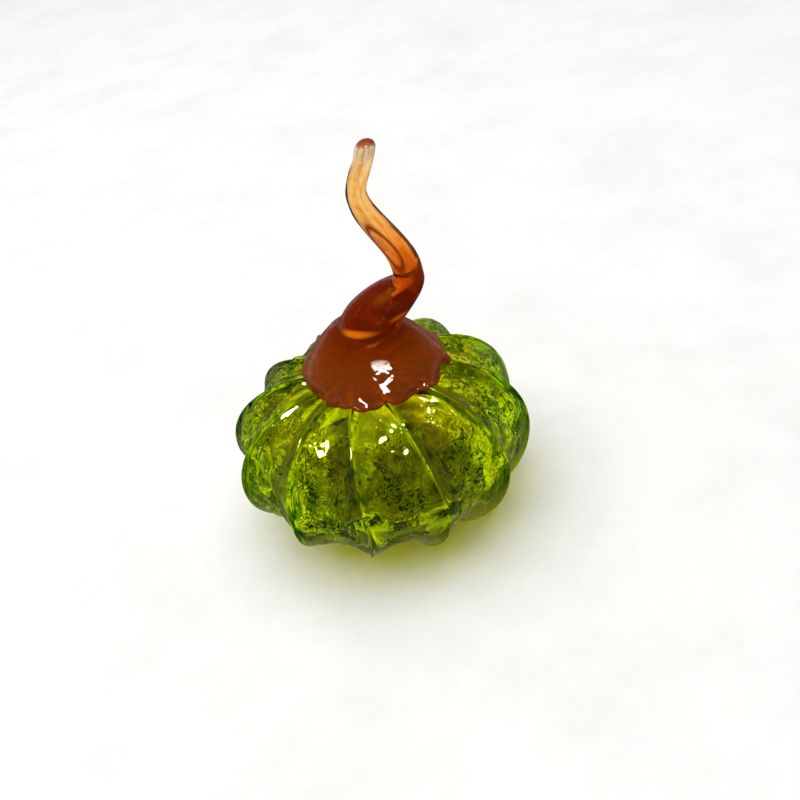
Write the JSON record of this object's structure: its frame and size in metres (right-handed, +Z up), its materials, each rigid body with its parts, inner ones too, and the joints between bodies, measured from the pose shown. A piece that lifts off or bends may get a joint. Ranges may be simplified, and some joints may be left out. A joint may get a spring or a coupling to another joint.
{
  "type": "glass pumpkin ornament",
  "caption": "Small hollow blown glass pumpkin with sharp ribs, a poured amber glass collar and a tall curled stem, standing on a flat ground spot.",
  "frame": {"origin": "centre of the bounding box's bottom face, on the surface that the ornament stands on", "axes": "+Z up along the body and stem, +X towards the side that the stem curls to, -Y towards the picture's camera"},
  "size_m": [0.0742, 0.0742, 0.0995],
  "materials": {
    "green_glass": "clear yellow-green glass, fire-polished on the ribs, fine chill texture in the flutes",
    "amber_glass": "clear amber to orange glass, smooth and glossy, with faint streaks along the stem"
  },
  "bodies": {
    "root": {"body": "green_glass", "stem": "amber_glass"}
  },
  "joints": []
}
